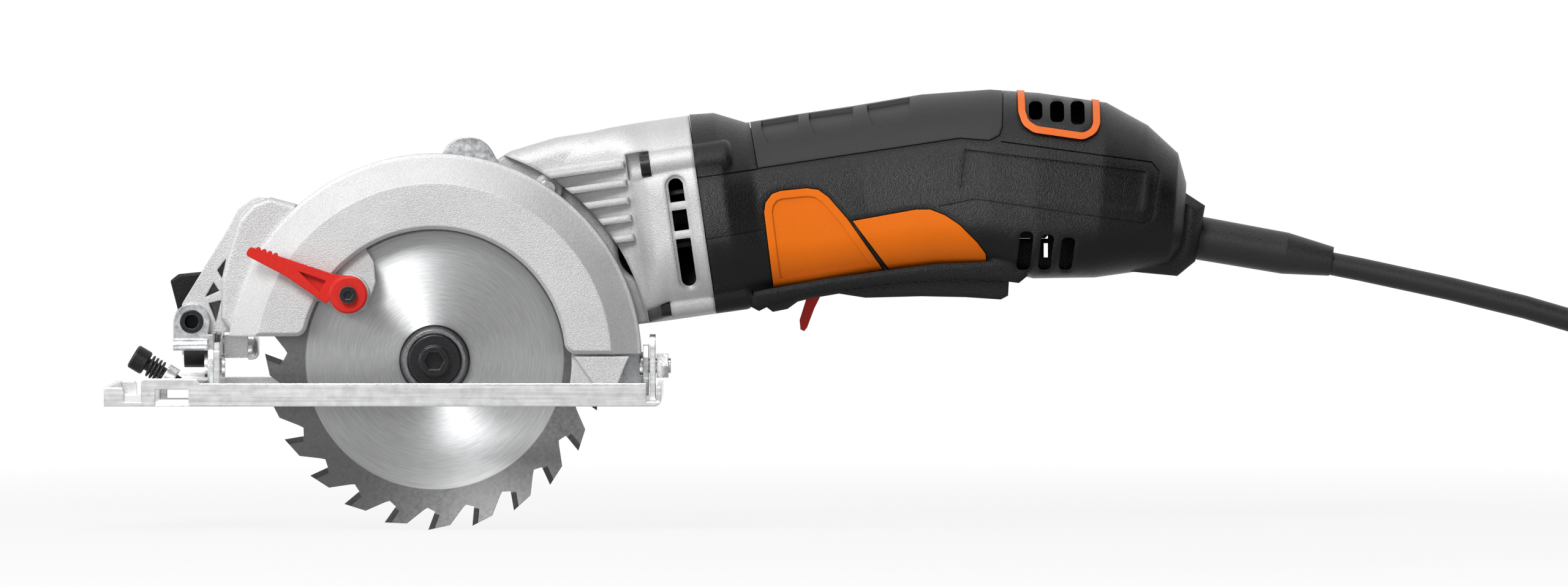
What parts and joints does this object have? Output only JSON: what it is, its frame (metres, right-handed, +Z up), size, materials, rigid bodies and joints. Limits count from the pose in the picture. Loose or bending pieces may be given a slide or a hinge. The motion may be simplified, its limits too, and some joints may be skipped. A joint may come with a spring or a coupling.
{
  "type": "compact circular saw",
  "caption": "Compact corded circular saw with an in-line motor grip, cast gear case and guard, swinging lower guard, tilting base with depth and bevel settings, and a paddle switch.",
  "frame": {"origin": "on the sole straight under the spindle, in the middle of the blade's thickness", "axes": "+X to the rear along the handle, +Y away from the blade side, +Z up"},
  "size_m": [0.7641, 0.1345, 0.149],
  "materials": {
    "cast_alloy": "grained die casting",
    "blade_steel": "polished centre, rough grey rim",
    "carbide": "ground dark carbide",
    "dark_steel": "blackened steel",
    "plated_steel": "plated sheet steel",
    "galvanised_steel": "zinc plated",
    "bright_steel": "bright plated",
    "gear_steel": "hardened steel",
    "laminations": "stacked sheet",
    "copper": "copper",
    "carbon": "pressed carbon",
    "red_plastic": "smooth red moulding",
    "black_plastic": "fine-textured black moulding",
    "gloss_black": "granular glossy black moulding",
    "grip_rubber": "dark grey soft grip",
    "orange_rubber": "orange soft pad",
    "orange_plastic": "orange moulding",
    "cord_rubber": "black flexible lead"
  },
  "bodies": {
    "saw_body": {"motor_housing_near": "black_plastic", "motor_housing_far": "black_plastic", "grip_covers": "grip_rubber", "side_pads": "orange_rubber", "vent_trim": "orange_plastic", "gear_housing": "cast_alloy", "gear_cover": "cast_alloy", "countersunk_screws": "bright_steel", "gear_housing_screws": "dark_steel", "housing_screws": "dark_steel", "upper_guard": "cast_alloy", "guard_spring": "bright_steel", "guard_retainer": "galvanised_steel", "spindle_bearings": "bright_steel", "idler_pin": "gear_steel", "drive_bearings": "bright_steel", "stator_core": "laminations", "field_coils": "copper", "brush_holders": "black_plastic", "carbon_brushes": "carbon", "switch_body": "black_plastic", "paddle_spring": "bright_steel", "cord_clamp": "black_plastic", "cord_sleeve": "cord_rubber", "power_cord": "cord_rubber", "cord_coil": "cord_rubber", "plug": "black_plastic", "depth_bolt": "bright_steel"},
    "blade_spindle": {"spindle": "gear_steel", "spindle_gear": "gear_steel", "inner_flange": "dark_steel", "saw_blade": "blade_steel", "carbide_tips": "carbide", "outer_flange": "dark_steel", "blade_bolt": "dark_steel"},
    "idler": {"idler_gear": "gear_steel"},
    "lay_shaft": {"countershaft": "gear_steel", "bevel_gear": "gear_steel"},
    "armature": {"armature_shaft": "gear_steel", "armature_core": "laminations", "commutator": "copper", "cooling_fan": "black_plastic"},
    "swing_guard": {"lower_guard": "cast_alloy", "guard_lever": "red_plastic", "guard_lever_screw": "dark_steel"},
    "carriage": {"hinge_bracket": "galvanised_steel", "hinge_pin": "dark_steel", "depth_quadrant": "galvanised_steel", "bevel_bolt": "bright_steel", "bevel_pivots": "bright_steel", "rear_pivot_nut": "bright_steel"},
    "base": {"base_plate": "plated_steel", "bevel_quadrant": "plated_steel", "clamp_spring": "dark_steel"},
    "bevel_handle": {"bevel_lever": "black_plastic"},
    "depth_handle": {"depth_lever": "black_plastic"},
    "paddle": {"paddle_switch": "gloss_black"},
    "lock_off": {"lock_off_lever": "red_plastic"},
    "fence_screw": {"clamp_screw": "dark_steel"},
    "lock_button": {"spindle_lock_button": "black_plastic"}
  },
  "joints": [
    {"name": "armature_spin", "type": "hinge", "parent": "saw_body", "child": "armature", "pos_m": [0.0906, 0.03, 0.0638], "axis": [0.99, 0, 0.1409], "continuous": true},
    {"name": "countershaft_spin", "type": "hinge", "parent": "saw_body", "child": "lay_shaft", "pos_m": [0.008, 0.03, 0.05204], "axis": [0, 1, 0], "continuous": true},
    {"name": "idler_spin", "type": "hinge", "parent": "saw_body", "child": "idler", "pos_m": [0.00819, 0.026, 0.03305], "axis": [0, 1, 0], "continuous": true},
    {"name": "blade_spin", "type": "hinge", "parent": "saw_body", "child": "blade_spindle", "pos_m": [0, 0, 0.0148], "axis": [0, 1, 0], "continuous": true},
    {"name": "lower_guard_swing", "type": "hinge", "parent": "saw_body", "child": "swing_guard", "pos_m": [0, 0, 0.0148], "axis": [0, 1, 0], "range_deg": [0, 150], "stiffness_Nm_per_rad": 0.12, "springref_deg": 177.62, "deforming": ["guard_spring"]},
    {"name": "depth_swing", "type": "hinge", "parent": "saw_body", "child": "carriage", "pos_m": [-0.0825, 0.012, 0.0278], "axis": [0, 1, 0], "range_deg": [0, 28]},
    {"name": "bevel_tilt", "type": "hinge", "parent": "carriage", "child": "base", "pos_m": [0, 0.008, 0.0128], "axis": [-1, 0, 0], "range_deg": [0, 45]},
    {"name": "bevel_lever_turn", "type": "hinge", "parent": "carriage", "child": "bevel_handle", "pos_m": [-0.081, 0.036, 0.0188], "axis": [-1, 0, 0], "range_deg": [0, 60]},
    {"name": "depth_lever_turn", "type": "hinge", "parent": "saw_body", "child": "depth_handle", "pos_m": [0.02485, 0.022, 0.02217], "axis": [0, 1, 0], "range_deg": [0, 20]},
    {"name": "paddle_press", "type": "hinge", "parent": "saw_body", "child": "paddle", "pos_m": [0.1165, 0.03, 0.037], "axis": [0, -1, 0], "range_deg": [0, 4.2], "stiffness_Nm_per_rad": 2, "springref_deg": -6.88, "deforming": ["paddle_spring"]},
    {"name": "lock_off_press", "type": "hinge", "parent": "paddle", "child": "lock_off", "pos_m": [0.1288, 0.03, 0.0382], "axis": [0, 1, 0], "range_deg": [0, 25], "stiffness_Nm_per_rad": 0.05, "springref_deg": -11.46},
    {"name": "clamp_screw_turn", "type": "hinge", "parent": "base", "child": "fence_screw", "pos_m": [-0.0988, -0.024, 0.0155], "axis": [0.8572, 0, -0.515], "range_deg": [0, 360]},
    {"name": "spindle_lock_press", "type": "slide", "parent": "saw_body", "child": "lock_button", "axis": [0, -1, 0], "range_m": [0, 0.003], "stiffness_N_per_m": 800, "springref_m": -0.003}
  ],
  "couplings": [
    {"joint": "countershaft_spin", "follows": "armature_spin", "ratio": -0.2},
    {"joint": "idler_spin", "follows": "armature_spin", "ratio": 0.14545},
    {"joint": "blade_spin", "follows": "armature_spin", "ratio": -0.17778}
  ]
}
